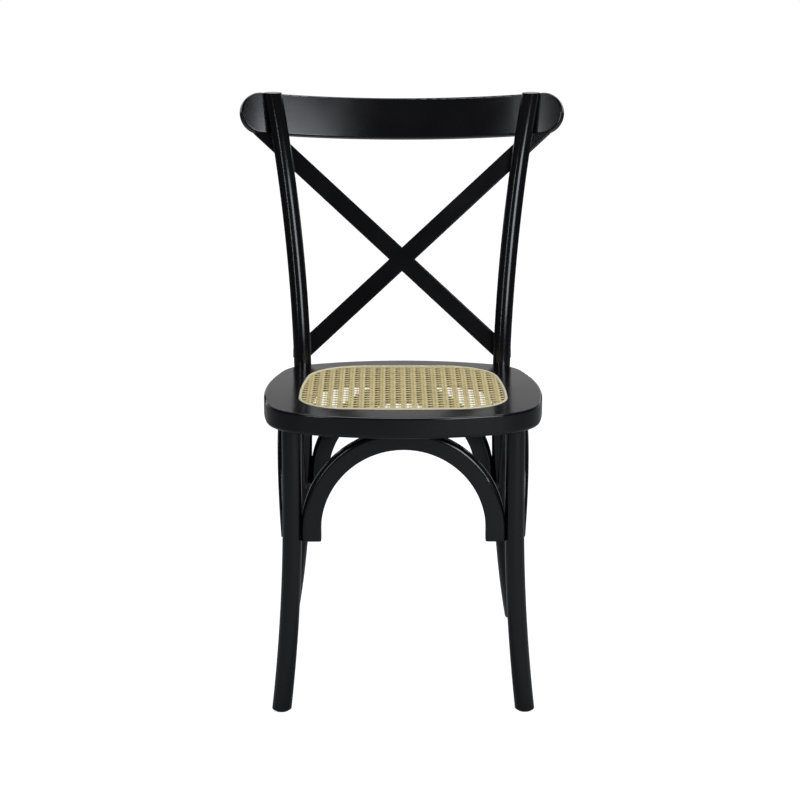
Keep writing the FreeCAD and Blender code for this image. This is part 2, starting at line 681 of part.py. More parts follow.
for name, other, front_half in (("cross_slat_right", "cross_slat_left", True),
                                ("cross_slat_left", "cross_slat_right", False)):
    lap = doc.addObject("Part::Box", name + "_lap_half")
    lap.setExpression("Length", "6 * Sizes.slat_width")
    lap.setExpression("Width", "Sizes.slat_thickness")
    lap.setExpression("Height", "6 * Sizes.slat_width")
    shift = -size("slat_thickness") / 2 if front_half else size("slat_thickness") / 2
    lap.Placement = SLATS.multiply(Placement(Vector(-lap_size, shift, -lap_size), Rotation()))
    notch = boolean("Common", name + "_lap", strips[other], lap)
    cuts = [notch, under_cut, rods["post_right_room"], rods["post_left_room"], slat_holes, cross_hole]
    piece(name, fitted(name, strips[name], cuts))


# Arches: one bent brace between two legs, drawn upright about the centre of its curve.
def arch(name, frame, radius_value, radius=None):
    body = new_body(name + "_blank", frame)
    curve = new_sketch(body, name + "_curve", "XZ_Plane")
    inner, drop = radius_value - size("arch_width"), -size("arch_straight")
    for radius_now in (radius_value, inner):
        base = Part.Circle(Vector(), Vector(0, 0, 1), radius_now)
        curve.addGeometry(Part.ArcOfCircle(base, 0, math.pi), False)
        fix(curve, "Coincident", curve.GeometryCount - 1, 3, -1, 1)
    for sign in (1, -1):
        corners = [Vector(sign * x, y, 0) for x, y in
                   ((radius_value, 0), (radius_value, drop), (inner, drop), (inner, 0))]
        first = curve.GeometryCount
        for n in range(3):
            curve.addGeometry(Part.LineSegment(corners[n], corners[n + 1]), False)
        arc_end = 1 if sign > 0 else 2
        fix(curve, "Tangent", 0, arc_end, first, 1)
        fix(curve, "Coincident", first, 2, first + 1, 1)
        fix(curve, "Coincident", first + 1, 2, first + 2, 1)
        fix(curve, "Tangent", first + 2, 2, 1, arc_end)
        fix(curve, "Vertical", first)
        fix(curve, "Horizontal", first + 1)
        fix(curve, "Vertical", first + 2)
        bind(curve, "-Sizes.arch_straight", "DistanceY", -1, 1, first, 2, drop)
    if radius:
        bind(curve, radius, "Radius", 0, radius_value)
        bind(curve, "%s - Sizes.arch_width" % radius, "Radius", 1, inner)
    else:
        fix(curve, "Radius", 0, radius_value)
        bind(curve, "%s - Sizes.arch_width" % radius_value, "Radius", 1, inner)
    feature(body, "Pad", curve, "Sizes.arch_depth", midplane=True)

    def at_span(span):
        def wanted(edge):
            level = size("arch_depth") / 2
            return all(abs(abs(v.X) - span) < 0.01 and abs(abs(v.Y) - level) < 0.01
                       for v in edge.Vertexes) and abs(edge.Vertexes[0].Y - edge.Vertexes[-1].Y) < 0.01
        return wanted

    rounded(body, "Sizes.arch_round", at_span(radius_value))
    body.Tip.Label = name + "_outer_round"
    rounded(body, "Sizes.arch_inner_round", at_span(inner))
    return body


def reach_between(first, second, radius_first, radius_second):
    """Outer radius of an arch whose ends are let into two round legs."""
    return ((second - first).Length - radius_first - radius_second) / 2 + size("arch_let_in")


end_height = UNDERSIDE - size("arch_drop")
centre_height = end_height + size("arch_straight")
end_level = end_height + size("arch_straight") / 2
leg_radius, post_radius = size("leg_diameter") / 2, size("post_diameter") / 2
post_end = Vector(post_at(end_level)[0], FRONT + post_at(end_level)[1], 0)
arches = {}
front_reach = "((Sizes.leg_spacing - Sizes.leg_diameter) / 2 + Sizes.arch_let_in)"
front_value = (size("leg_spacing") - size("leg_diameter")) / 2 + size("arch_let_in")
front_frame = Placement(Vector(0, FRONT + size("leg_setback"), centre_height), Rotation())
arches["front_arch"] = (arch("front_arch", front_frame, front_value, front_reach), front_frame, front_value)
rear_value = post_end.x - post_radius + size("arch_let_in")
rear_frame = Placement(Vector(0, FRONT + size("rear_arch_setback"), centre_height), Rotation())
arches["rear_arch"] = (arch("rear_arch", rear_frame, rear_value), rear_frame, rear_value)
for side, name in ((1, "right_arch"), (-1, "left_arch")):
    leg_x = size("leg_spacing") / 2 + size("arch_side_offset")
    front_end = Vector(side * leg_x, FRONT + size("leg_setback"), 0)
    rear_end = Vector(side * (post_end.x + size("arch_side_offset")), post_end.y, 0)
    gap = (rear_end - front_end).Length
    along = (rear_end - front_end).normalize()
    toe = front_end + along * (gap + leg_radius - post_radius) * 0.5
    tilt = math.radians(size("arch_side_tilt"))
    outward = Vector(along.y, -along.x, 0) * side
    up = outward * math.sin(tilt) + Vector(0, 0, math.cos(tilt))
    frame = Placement(toe + Vector(0, 0, centre_height), Rotation(along, up.cross(along), up, "XZY"))
    value = reach_between(front_end, rear_end, leg_radius, post_radius)
    arches[name] = (arch(name, frame, value), frame, value)

end_places, crown_places = [], []
half_spread = size("crown_screw_spread") / 2
for name, (blank, frame, value) in arches.items():
    inner = value - size("arch_width")
    for side in (1, -1):
        start = frame.multVec(Vector(side * inner, 0, -size("arch_straight") / 2))
        end_places.append((start, frame.Rotation.multVec(Vector(side, 0, 0))))
        rise = math.sqrt(inner ** 2 - half_spread ** 2) + size("crown_screw_sink")
        start = frame.multVec(Vector(side * half_spread, 0, rise))
        crown_places.append((start, frame.Rotation.multVec(Vector(0, 0, 1))))
end_screws, end_holes = screws("arch_end_screws", "arch_end_screw_length", end_places)
crown_screws, crown_holes = screws("arch_crown_screws", "crown_screw_length", crown_places)
piece("arch_end_screws", end_screws)
piece("arch_crown_screws", crown_screws)

slab = doc.addObject("Part::Box", "above_underside")
slab.setExpression("Length", "2 * Sizes.seat_width")
slab.setExpression("Width", "2 * Sizes.seat_depth")
slab.setExpression("Height", "Sizes.seat_height")
slab_corner = Vector(-size("seat_width"), FRONT - size("seat_depth") / 2, UNDERSIDE)
slab.Placement = Placement(slab_corner, Rotation())
near = {"front_arch": ["leg_right", "leg_left"], "rear_arch": ["post_right", "post_left"],
        "right_arch": ["leg_right", "post_right"], "left_arch": ["leg_left", "post_left"]}
for name, (blank, frame, value) in arches.items():
    rooms = [rods[rod_name + "_room"] for rod_name in near[name]]
    piece(name, fitted(name, blank, [slab] + rooms + [end_holes, crown_holes]))


# Seat bolts: through each post from behind, into a barrel nut that lies in the seat ring.
middle_height = size("seat_height") - size("seat_thickness") / 2
washer, bolt_shank = size("washer_thickness"), size("bolt_diameter") / 2
head_top = washer + size("bolt_head_height")
tip_depth = size("bolt_length") - washer
bolt = revolved([(0, head_top), (size("bolt_head") / 2, head_top), (size("bolt_head") / 2, washer),
                 (bolt_shank, washer), (bolt_shank, -tip_depth), (0, -tip_depth)])
ring = rod(size("washer_diameter") / 2, -washer, 0).cut(rod(bolt_shank + size("fit_gap"), -washer, 0))
seat_flat = post_radius - size("bolt_flat_depth")
bolt_hole = rod(bolt_shank + size("fit_gap"), -ACCESS, tip_depth + 1)
spot_face = rod(size("washer_diameter") / 2 + size("fit_gap"), -post_radius, 0)
barrel_depth = tip_depth - seat_flat - size("barrel_diameter") / 2 - 1
bolt_places, barrel_places = [], []
for side in (1, -1):
    x, back, up = post_at(middle_height)
    turn = math.radians(size("bolt_turn"))
    outward = Vector(side * math.sin(turn), math.cos(turn), 0)
    middle = Vector(side * x, FRONT + back, middle_height)
    bolt_places.append((middle + outward * seat_flat, -outward))
    top = Vector(0, 0, size("barrel_length") / 2)
    barrel_places.append((middle - outward * barrel_depth + top, Vector(0, 0, -1)))
bolt_holes = group("seat_bolt_holes", bolt_hole.fuse(spot_face), bolt_places)
barrel = rod(size("barrel_diameter") / 2, 0, size("barrel_length"))
barrel_room = rod(size("barrel_diameter") / 2 + size("fit_gap"), 0, size("seat_thickness"))
barrel_holes = group("barrel_nut_holes", barrel_room, barrel_places)
piece("seat_bolts", group("seat_bolts", bolt, bolt_places))
piece("seat_bolt_washers", group("seat_bolt_washers", ring, bolt_places))
nuts = group("barrel_nut_blanks", barrel, barrel_places)
piece("barrel_nuts", fitted("barrel_nuts", nuts, [bolt_holes]))


# Foot glides: a disc with a pin, one under each leg.
def glide(name, x, back):
    disc = cylinder(name + "_disc", "Sizes.glide_diameter / 2", "Sizes.glide_height",
                    Placement(Vector(x, FRONT + back, 0), Rotation()))
    pin = cylinder(name + "_pin", "Sizes.glide_pin_diameter / 2",
                   "Sizes.glide_height + Sizes.glide_pin_length",
                   Placement(Vector(x, FRONT + back, 0), Rotation()))
    room = cylinder(name + "_room", "Sizes.glide_pin_diameter / 2 + Sizes.fit_gap",
                    "Sizes.glide_height + Sizes.glide_pin_length + 1",
                    Placement(Vector(x, FRONT + back, 0), Rotation()))
    piece(name, boolean("Fuse", name, disc, pin))
    return room


for side, word in ((1, "right"), (-1, "left")):
    x, back, up = leg_at(size("glide_height"))
    room = glide("front_glide_" + word, side * x, back)
    leg = rods["leg_" + word]
    piece("front_leg_" + word, fitted("front_leg_" + word, leg, [room, end_holes]))
    x, back, up = post_at(size("glide_height"))
    room = glide("rear_glide_" + word, side * x, back)
    cuts = [top_cut, room, end_holes, crest_holes, slat_holes, bolt_holes]
    piece("rear_post_" + word, fitted("rear_post_" + word, rods["post_" + word], cuts))


# Seat ring: solid wood, open under the cane, with a ledge and a groove round the opening.
seat = new_body("seat_blank", Placement(Vector(0, FRONT, UNDERSIDE), Rotation()))
TOP = "Sizes.seat_thickness"
plan = new_sketch(seat, "seat_plan")
draw_outline(plan, "seat")
feature(seat, "Pad", plan, TOP)
rounded(seat, "Sizes.seat_top_round", at_height(size("seat_thickness")))
rounded(seat, "Sizes.seat_under_round", at_height(0.0))
ledge_value = size("groove_width") + size("ledge_width")
opening = new_sketch(seat, "seat_opening", height=TOP)
draw_outline(opening, "cane", "Sizes.groove_width + Sizes.ledge_width", ledge_value)
feature(seat, "Pocket", opening)
recess = new_sketch(seat, "cane_recess", height=TOP)
draw_outline(recess, "cane", "Sizes.groove_width", size("groove_width"))
feature(seat, "Pocket", recess, "Sizes.cane_thickness")
groove = new_sketch(seat, "spline_groove", height=TOP)
draw_outline(groove, "cane")
draw_outline(groove, "cane", "Sizes.groove_width", size("groove_width"))
feature(seat, "Pocket", groove, "Sizes.groove_depth")
mortises = new_sketch(seat, "leg_mortises")
for sign in ("", "-"):
    bar(mortises, "Sizes.tenon_diameter" + CLEAR, sign + "Sizes.leg_spacing / 2", "Sizes.leg_setback",
        (1 if sign == "" else -1) * size("leg_spacing") / 2, size("leg_setback"))
feature(seat, "Pocket", mortises, "Sizes.tenon_length + 1", reverse=True)
seat_cuts = [rods["post_right_room"], rods["post_left_room"], crown_holes, bolt_holes, barrel_holes]
piece("seat_frame", fitted("seat_frame", seat, seat_cuts))


# Cane: a flat net of octagonal holes whose edge turns down into the groove.
def outline_wire(inset, height):
    edges = [arc.toShape() for arc in outline_arcs("cane", inset)]
    wire = Part.Wire(edges)
    wire.translate(Vector(0, FRONT, height))
    return wire


def octagon(x, y, height):
    reach = size("cane_hole") / 2 / math.cos(math.pi / 8)
    angles = [math.pi / 8 + n * math.pi / 4 for n in range(8)]
    corners = [Vector(x + reach * math.cos(a), y + reach * math.sin(a), height) for a in angles]
    return corners


top = size("seat_height")
woven = Part.Face(outline_wire(size("groove_width") + size("cane_border"), top))
holes = []
rows = int(size("cane_depth") / size("cane_pitch") / 2) + 1
centre_y = FRONT + size("cane_margin") + size("cane_depth") / 2
for across in range(-rows, rows + 1):
    for along in range(-rows, rows + 1):
        corners = octagon(across * size("cane_pitch"), centre_y + along * size("cane_pitch"), top)
        if all(woven.isInside(corner, 0.01, True) for corner in corners):
            holes.append(Part.makePolygon(corners + corners[:1]))
lip_inset = size("groove_width") - size("cane_thickness")
MAKER = "Part::FaceMakerBullseye"
sheet_face = Part.makeFace([outline_wire(lip_inset, top)] + holes, MAKER)
panel = sheet_face.extrude(Vector(0, 0, -size("cane_thickness")))
lip_edges = [outline_wire(lip_inset, top), outline_wire(size("groove_width") - size("fit_gap"), top)]
lip_face = Part.makeFace(lip_edges, MAKER)
lip = lip_face.extrude(Vector(0, 0, size("lip_clearance") - size("groove_depth")))
piece("cane_webbing", feature_of("cane_webbing", panel.fuse(lip).removeSplitter()))

# Spline: a ring of reed that wedges the cane in its groove and stands a little proud.
spline = new_body("cane_spline", Placement(Vector(0, FRONT, size("seat_height") - size("groove_depth")
                                                  + size("lip_clearance")), Rotation()))
reed = new_sketch(spline, "spline_ring")
draw_outline(reed, "cane", "Sizes.fit_gap", size("fit_gap"))
draw_outline(reed, "cane", "Sizes.groove_width - Sizes.cane_thickness - Sizes.fit_gap",
             lip_inset - size("fit_gap"))
feature(spline, "Pad", reed, "Sizes.groove_depth - Sizes.lip_clearance + Sizes.spline_proud")
spline_top = size("groove_depth") - size("lip_clearance") + size("spline_proud")
rounded(spline, "Sizes.spline_round", at_height(spline_top))
piece("cane_spline", spline)


# Check every object, then write one file for each sub-part.
doc.recompute()
faults = [item.Name for item in doc.Objects if "Invalid" in item.State or "Error" in item.State]
for label, item in PIECES.items():
    if item.Shape.isNull() or not item.Shape.isValid() or not item.Shape.Solids:
        faults.append(label)
if faults:
    raise RuntimeError("not built: " + ", ".join(sorted(set(faults))))
os.makedirs("parts", exist_ok=True)
for label, item in PIECES.items():
    item.Shape.exportStep(os.path.join("parts", label + ".step"))
whole = Part.makeCompound([item.Shape for item in PIECES.values()]).optimalBoundingBox()
print("pieces", len(PIECES), "box", [round(value, 2) for value in
      (whole.XMin, whole.XMax, whole.YMin, whole.YMax, whole.ZMin, whole.ZMax)])
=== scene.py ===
"""Cross back dining chair with a woven cane seat: its looks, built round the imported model.

Metres, in the model's own frame: +X right, +Y to the rear, +Z up, the floor at z 0.
"""

import math

import bpy
import numpy as np
from mathutils import Matrix, Vector


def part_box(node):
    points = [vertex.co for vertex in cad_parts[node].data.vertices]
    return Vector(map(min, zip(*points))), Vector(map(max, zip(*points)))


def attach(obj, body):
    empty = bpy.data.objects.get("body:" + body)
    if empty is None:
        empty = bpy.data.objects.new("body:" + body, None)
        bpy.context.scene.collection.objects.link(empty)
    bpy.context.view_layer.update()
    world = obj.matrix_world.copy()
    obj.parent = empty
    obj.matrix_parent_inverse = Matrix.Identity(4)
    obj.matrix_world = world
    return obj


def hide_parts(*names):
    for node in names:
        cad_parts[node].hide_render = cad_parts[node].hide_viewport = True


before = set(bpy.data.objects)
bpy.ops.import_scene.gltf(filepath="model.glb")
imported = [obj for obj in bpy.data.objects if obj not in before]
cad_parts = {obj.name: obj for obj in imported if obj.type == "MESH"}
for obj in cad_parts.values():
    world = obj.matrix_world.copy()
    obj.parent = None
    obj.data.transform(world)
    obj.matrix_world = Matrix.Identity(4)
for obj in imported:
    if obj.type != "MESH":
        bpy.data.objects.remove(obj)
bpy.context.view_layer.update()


# The studio: a white floor in a white room, as for a catalogue picture of a dark chair. A broad
# softbox stands to the right of the camera and a narrow one to the left, and a large one hangs
# over the chair.
def colour(hex_value):
    """Linear RGBA of an sRGB hex value: each channel is undone from the display's curve."""
    channels = [int(hex_value[n:n + 2], 16) / 255 for n in (1, 3, 5)]
    linear = [c / 12.92 if c <= 0.04045 else ((c + 0.055) / 1.055) ** 2.4 for c in channels]
    return (*linear, 1.0)


def add(tree, kind, inputs=None, **settings):
    """A node of a kind, with its settings; an input is a value or another node's output."""
    node = tree.nodes.new("ShaderNode" + kind)
    for name, value in settings.items():
        setattr(node, name, value)
    for name, value in (inputs or {}).items():
        if isinstance(value, bpy.types.NodeSocket):
            tree.links.new(value, node.inputs[name])
        else:
            node.inputs[name].default_value = value
    return node


def blend(tree, share, first, second):
    """The colour that lies a share of the way from the first colour to the second."""
    return add(tree, "Mix", {0: share, 6: first, 7: second}, data_type="RGBA").outputs[2]


def seen_directly(tree):
    """1 for rays from the camera, also through glass, and 0 for light and reflections."""
    ray = add(tree, "LightPath")
    both = {0: ray.outputs["Is Camera Ray"], 1: ray.outputs["Is Transmission Ray"]}
    return add(tree, "Math", both, operation="MAXIMUM").outputs[0]


def empty_material(name):
    """A material without nodes, and its tree."""
    material = bpy.data.materials.new(name)
    material.use_nodes = True
    material.node_tree.nodes.clear()
    return material, material.node_tree


def link(name, data):
    """An object round a mesh, a lamp or a camera, in the scene."""
    item = bpy.data.objects.new(name, data)
    bpy.context.scene.collection.objects.link(item)
    return item


def smooth_mesh(name, points, faces, material):
    """Object of a smooth mesh: points (n, 3), and faces that list four points each."""
    mesh = bpy.data.meshes.new(name)
    mesh.from_pydata(points.tolist(), [], faces.tolist())
    mesh.polygons.foreach_set("use_smooth", np.ones(len(faces), bool))
    mesh.materials.append(material)
    return link(name, mesh)


def grid_mesh(name, points, material, closed=False):
    """Mesh over a grid of points (rows, columns, 3): one face between each four neighbours."""
    rows, columns = points.shape[:2]
    index = np.arange(rows * columns).reshape(rows, columns)
    if closed:
        index = np.vstack([index, index[:1]])
        index = np.hstack([index, index[:, :1]])
    faces = np.stack([index[:-1, :-1], index[:-1, 1:], index[1:, 1:], index[1:, :-1]], -1)
    return smooth_mesh(name, points.reshape(-1, 3), faces.reshape(-1, 4), material)


# The floor glows to the camera, a painted light: fainter near the chair, which paints a little
# shade round it, and up to the white of the backdrop further off.
FLOOR_REACH = 14.0
GLOW_NEAR, GLOW_FAR = 0.88, 1.0
GLOW_STARTS, GLOW_ENDS = 0.8, 3.2
floor_white, tree = empty_material("painted_studio_floor")
diffuse = add(tree, "BsdfDiffuse", {"Color": colour("#b4b4b4")})
spot = add(tree, "VectorMath", {0: add(tree, "TexCoord").outputs["Object"]}, operation="LENGTH")
# Strength of the painted glow: lower near the chair, full white far from it.
painted_glow_falloff = add(tree, "MapRange", {"Value": spot.outputs["Value"], "From Min": GLOW_STARTS,
                              "From Max": GLOW_ENDS, "To Min": GLOW_NEAR, "To Max": GLOW_FAR},
           interpolation_type="SMOOTHSTEP")
glow = add(tree, "Emission", {"Color": (1, 1, 1, 1), "Strength": painted_glow_falloff.outputs[0]})
dark = add(tree, "Emission", {"Strength": 0.0})
lit = add(tree, "MixShader", {"Fac": seen_directly(tree), 1: dark.outputs[0], 2: glow.outputs[0]})
floor_sum = add(tree, "AddShader", {0: diffuse.outputs[0], 1: lit.outputs[0]})
add(tree, "OutputMaterial", {"Surface": floor_sum.outputs[0]})
corners = FLOOR_REACH * np.array([[[-1, -1, 0], [1, -1, 0]], [[-1, 1, 0], [1, 1, 0]]], float)
floor = grid_mesh("studio_floor", corners, floor_white)

# The room is white to the camera. Reflections find it dim all round, apart from a lit backdrop
# behind the chair that fades out a little above the horizon. The seat's top mirrors that.
ROOM_LEVEL = 0.055
BACKDROP_LEVEL, BACKDROP_FADED = 0.70, 0.10
BACKDROP_EDGE, BACKDROP_FULL = 0.40, 0.90
FADE_STARTS, FADE_ENDS = 0.197, 0.232
world = bpy.data.worlds.new("studio_room")
world.use_nodes = True
tree = world.node_tree
tree.nodes.clear()
direction = add(tree, "SeparateXYZ", {"Vector": add(tree, "TexCoord").outputs["Generated"]})
rearward = add(tree, "MapRange", {"Value": direction.outputs["Y"], "From Min": BACKDROP_EDGE,
                                  "From Max": BACKDROP_FULL, "To Min": 0.0,
                                  "To Max": BACKDROP_LEVEL}, interpolation_type="SMOOTHSTEP")
below = add(tree, "MapRange", {"Value": direction.outputs["Z"], "From Min": FADE_STARTS,
                               "From Max": FADE_ENDS, "To Min": 1.0, "To Max": BACKDROP_FADED},
            interpolation_type="SMOOTHSTEP")
screen = add(tree, "Math", {0: rearward.outputs[0], 1: below.outputs[0]}, operation="MULTIPLY")
room = add(tree, "Math", {0: screen.outputs[0], 1: ROOM_LEVEL}, operation="ADD")
level = add(tree, "Mix", {0: seen_directly(tree), 2: room.outputs[0], 3: 1.0}, data_type="FLOAT")
sky = add(tree, "Background", {"Color": (1, 1, 1, 1), "Strength": level.outputs[0]})
add(tree, "OutputWorld", {"Surface": sky.outputs[0]})
bpy.context.scene.world = world


LAMP_AIM = (0, 0, 0.62)
LAMP_COLOUR = (0.90, 0.93, 1.0)


def softbox(name, azimuth, elevation, distance, width, height, watts):
    """Area lamp that faces the chair's middle: azimuth from the front towards +X, in degrees."""
    a, e = math.radians(azimuth), math.radians(elevation)
    away = Vector((math.sin(a) * math.cos(e), -math.cos(a) * math.cos(e), math.sin(e)))
    lamp = bpy.data.lights.new(name, "AREA")
    lamp.shape = "RECTANGLE"
    lamp.size, lamp.size_y, lamp.energy = width, height, watts
    lamp.color = LAMP_COLOUR
    item = link(name, lamp)
    item.location = Vector(LAMP_AIM) + away * distance
    item.rotation_euler = away.to_track_quat("Z", "Y").to_euler()


softbox("panel_right", azimuth=29.5, elevation=17, distance=2.6, width=0.98, height=1.6, watts=40)
softbox("strip_left", azimuth=-36, elevation=18, distance=2.6, width=0.17, height=1.7, watts=9)
softbox("overhead", azimuth=180, elevation=80, distance=2.4, width=2.0, height=1.6, watts=50)

# The camera stands a little left of the chair's middle and looks slightly down on the seat. Its
# focal length and its shift are in pixels of a square picture, and its angles are in degrees.
PICTURE = 800.0
CAMERA_FOCAL = 2307.0
CAMERA_SHIFT_X, CAMERA_SHIFT_Y = -2.52, 1.02
CAMERA_PITCH, CAMERA_YAW, CAMERA_ROLL = 12.8027, 0.3956, 0.0556
CAMERA_PLACE = (-0.0242, -3.4935, 1.2185)
camera = bpy.data.cameras.new("catalogue_camera")
camera.sensor_width = 36.0
camera.lens = CAMERA_FOCAL / PICTURE * camera.sensor_width
camera.shift_x, camera.shift_y = CAMERA_SHIFT_X / PICTURE, CAMERA_SHIFT_Y / PICTURE
turned = (Matrix.Rotation(-math.radians(CAMERA_YAW), 4, "Z")
          @ Matrix.Rotation(math.pi / 2 - math.radians(CAMERA_PITCH), 4, "X")
          @ Matrix.Rotation(math.radians(CAMERA_ROLL), 4, "Z"))
camera_item = link("catalogue_camera", camera)
camera_item.matrix_world = Matrix.Translation(CAMERA_PLACE) @ turned
bpy.context.scene.camera = camera_item
bpy.context.scene.view_settings.view_transform = "Standard"


# The wooden frame: beech, bent or sawn, then sprayed with a satin black lacquer. The lacquer
# hides the wood's colour, but the pores still print through along the grain of each piece.
def black_lacquer(name, grain_turn):
    """Satin lacquer over beech whose grain runs along the piece's X axis after a turn."""
    material, tree = empty_material(name)
    place = add(tree, "TexCoord").outputs["Object"]
    grain = add(tree, "Mapping", {"Vector": place, "Rotation": grain_turn})
    along = add(tree, "Mapping", {"Vector": grain.outputs[0], "Scale": (22.0, 600.0, 600.0)})
    # Pores of beech are short and narrow. They are drawn 45 mm by 1.7 mm, so that they show.
    pores = add(tree, "TexNoise", {"Vector": along.outputs[0], "Scale": 1.0, "Detail": 3.0,
                                   "Roughness": 0.6})
    # Orange peel of the spray, 4 mm from crest to crest.
    peel = add(tree, "TexNoise", {"Vector": place, "Scale": 250.0, "Detail": 1.0})
    # Uneven film, seen as soft cloudy patches 60 mm across.
    cloud = add(tree, "TexNoise", {"Vector": place, "Scale": 17.0, "Detail": 1.0})
    rough = add(tree, "MapRange", {"Value": cloud.outputs[0], "From Min": 0.3, "From Max": 0.7,
                                   "To Min": 0.14, "To Max": 0.19})
    tint = blend(tree, cloud.outputs[0], colour("#0a0a0c"), colour("#0f0f11"))
    relief = add(tree, "Bump", {"Height": pores.outputs[0], "Strength": 0.12, "Distance": 0.00006})
    skin = add(tree, "Bump", {"Height": peel.outputs[0], "Strength": 0.2, "Distance": 0.00003,
                              "Normal": relief.outputs[0]})
    paint = add(tree, "BsdfPrincipled", {"Base Color": tint, "Roughness": rough.outputs[0],
                                         "IOR": 1.45, "Normal": skin.outputs[0]})
    add(tree, "OutputMaterial", {"Surface": paint.outputs[0]})
    return material


SLAT_SLOPE = math.radians(42.8)
grains = {
    "black_lacquer_upright": ((0, math.pi / 2, 0), ["front_leg_left", "front_leg_right",
                                                    "rear_post_left", "rear_post_right"]),
    "black_lacquer_crosswise": ((0, 0, 0), ["crest_rail", "crest_plugs", "seat_frame",
                                            "front_arch", "rear_arch"]),
    "black_lacquer_lengthwise": ((0, 0, math.pi / 2), ["left_arch", "right_arch"]),
    "black_lacquer_rising": ((0, SLAT_SLOPE, 0), ["cross_slat_right"]),
    "black_lacquer_falling": ((0, -SLAT_SLOPE, 0), ["cross_slat_left"]),
}
for name, (turn, nodes) in grains.items():
    lacquer = black_lacquer(name, turn)
    for node in nodes:
        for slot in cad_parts[node].material_slots:
            slot.material = lacquer


# Screws, bolts, washers and barrel nuts: steel with a black zinc coat, which is a little brown
# in patches. Most of them are inside the wood.
def black_zinc():
    """Black zinc: dark metal in crystal patches, some of them browner and rougher."""
    material, tree = empty_material("black_zinc_steel")
    place = add(tree, "TexCoord").outputs["Object"]
    # Patches of about 1 mm.
    patch = add(tree, "TexNoise", {"Vector": place, "Scale": 900.0, "Detail": 2.0})
    tint = blend(tree, patch.outputs[0], colour("#2a2a2c"), colour("#4a463f"))
    rough = add(tree, "MapRange", {"Value": patch.outputs[0], "To Min": 0.32, "To Max": 0.55})
    steel = add(tree, "BsdfPrincipled", {"Base Color": tint, "Metallic": 0.9,
                                         "Roughness": rough.outputs[0]})
    add(tree, "OutputMaterial", {"Surface": steel.outputs[0]})
    return material


zinc = black_zinc()
for node in ("crest_screws", "slat_screws", "cross_screw", "arch_end_screws", "arch_crown_screws",
             "seat_bolts", "seat_bolt_washers", "barrel_nuts"):
    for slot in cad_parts[node].material_slots:
        slot.material = zinc


# Foot glides: small discs of black nylon, moulded with a pin that is pressed into the foot.
def nylon():
    """Black nylon with the fine texture of its mould, a little scuffed."""
    material, tree = empty_material("moulded_black_nylon")
    place = add(tree, "TexCoord").outputs["Object"]
    # The spark-eroded texture is 0.4 mm across, the scuffs are 6 mm.
    spark = add(tree, "TexNoise", {"Vector": place, "Scale": 2500.0, "Detail": 1.0})
    skin = add(tree, "Bump", {"Height": spark.outputs[0], "Strength": 0.3, "Distance": 0.00005})
    scuff = add(tree, "TexNoise", {"Vector": place, "Scale": 160.0, "Detail": 3.0})
    tint = blend(tree, scuff.outputs[0], colour("#0e0e0f"), colour("#1d1d1e"))
    plastic = add(tree, "BsdfPrincipled", {"Base Color": tint, "Roughness": 0.55,
                                           "Normal": skin.outputs[0]})
    add(tree, "OutputMaterial", {"Surface": plastic.outputs[0]})
    return material


glide_nylon = nylon()
for node in ("front_glide_left", "front_glide_right", "rear_glide_left", "rear_glide_right"):
    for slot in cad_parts[node].material_slots:
        slot.material = glide_nylon


# The cane seat: open cane webbing, woven by machine from the split skin of rattan. Pairs of
# strands run each way and single strands cross them on both diagonals, which leaves octagonal
# holes. Its edge is pressed into a groove round the opening of the seat ring.
SEAT_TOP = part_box("seat_frame")[1].z
SEAT_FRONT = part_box("seat_frame")[0].y
# The groove's width, and its outer edge: how far it starts behind the seat's front, its width
# and depth, how far behind the seat's front it is widest, and then its radii at the front edge,
# the front corners, the sides, the rear corners and the rear edge.
GROOVE = 0.006
CANE_MARGIN, CANE_WIDTH, CANE_DEPTH, CANE_WIDEST = 0.056, 0.313, 0.310, 0.160
CANE_RADII = (0.900, 0.077, 1.000, 0.090, 1.300)
ARC_POINTS = 400


def cane_line(inset, count):
    """Closed line of the groove's outer edge, moved in: eight tangent arcs, symmetric about Y.

    The large arcs have set centres. A corner's centre lies where circles about its two large
    neighbours, with their radii less the corner's, cross. A point at an angle t of an arc is the
    centre plus (radius - inset) times (cos t, sin t).
    """
    front, corner, side, rear_corner, rear = CANE_RADII
    start = SEAT_FRONT + CANE_MARGIN
    front_centre = np.array([0, start + front])
    side_centre = np.array([CANE_WIDTH / 2 - side, SEAT_FRONT + CANE_WIDEST])
    rear_centre = np.array([0, start + CANE_DEPTH - rear])

    def between(first, r_first, second, r_second, towards):
        """Of the two points where circles about first and second cross, the one farther out."""
        across = second - first
        span = np.hypot(*across)
        along = (r_first ** 2 - r_second ** 2 + span ** 2) / (2 * span)
        off = math.sqrt(r_first ** 2 - along ** 2)
        unit = across / span
        both = [first + unit * along + s * off * np.array([-unit[1], unit[0]]) for s in (1, -1)]
        return max(both, key=lambda p: p @ towards)

    corner_centre = between(front_centre, front - corner, side_centre, side - corner,
                            np.array([1, -1]))
    back_centre = between(rear_centre, rear - rear_corner, side_centre, side - rear_corner,
                          np.array([1, 1]))

    def angle(centre, other):
        return math.atan2(other[1] - centre[1], other[0] - centre[0])

    stops = [-math.pi / 2, angle(front_centre, corner_centre), angle(side_centre, corner_centre),
             angle(side_centre, back_centre), angle(rear_centre, back_centre), math.pi / 2]
    arcs = [(front_centre, front), (corner_centre, corner), (side_centre, side),
            (back_centre, rear_corner), (rear_centre, rear)]
    half = []
    for (centre, radius), first, last in zip(arcs, stops[:-1], stops[1:]):
        turn = np.linspace(first, last, ARC_POINTS)
        half.append(centre + (radius - inset) * np.stack([np.cos(turn), np.sin(turn)], -1))
    half = np.concatenate(half)
    line = np.concatenate([half, (half * [-1, 1])[::-1]])
    run = np.concatenate([[0], np.cumsum(np.hypot(*np.diff(line, axis=0).T))])
    even = np.linspace(0, run[-1], count, endpoint=False)
    return np.stack([np.interp(even, run, line[:, 0]), np.interp(even, run, line[:, 1])], -1)


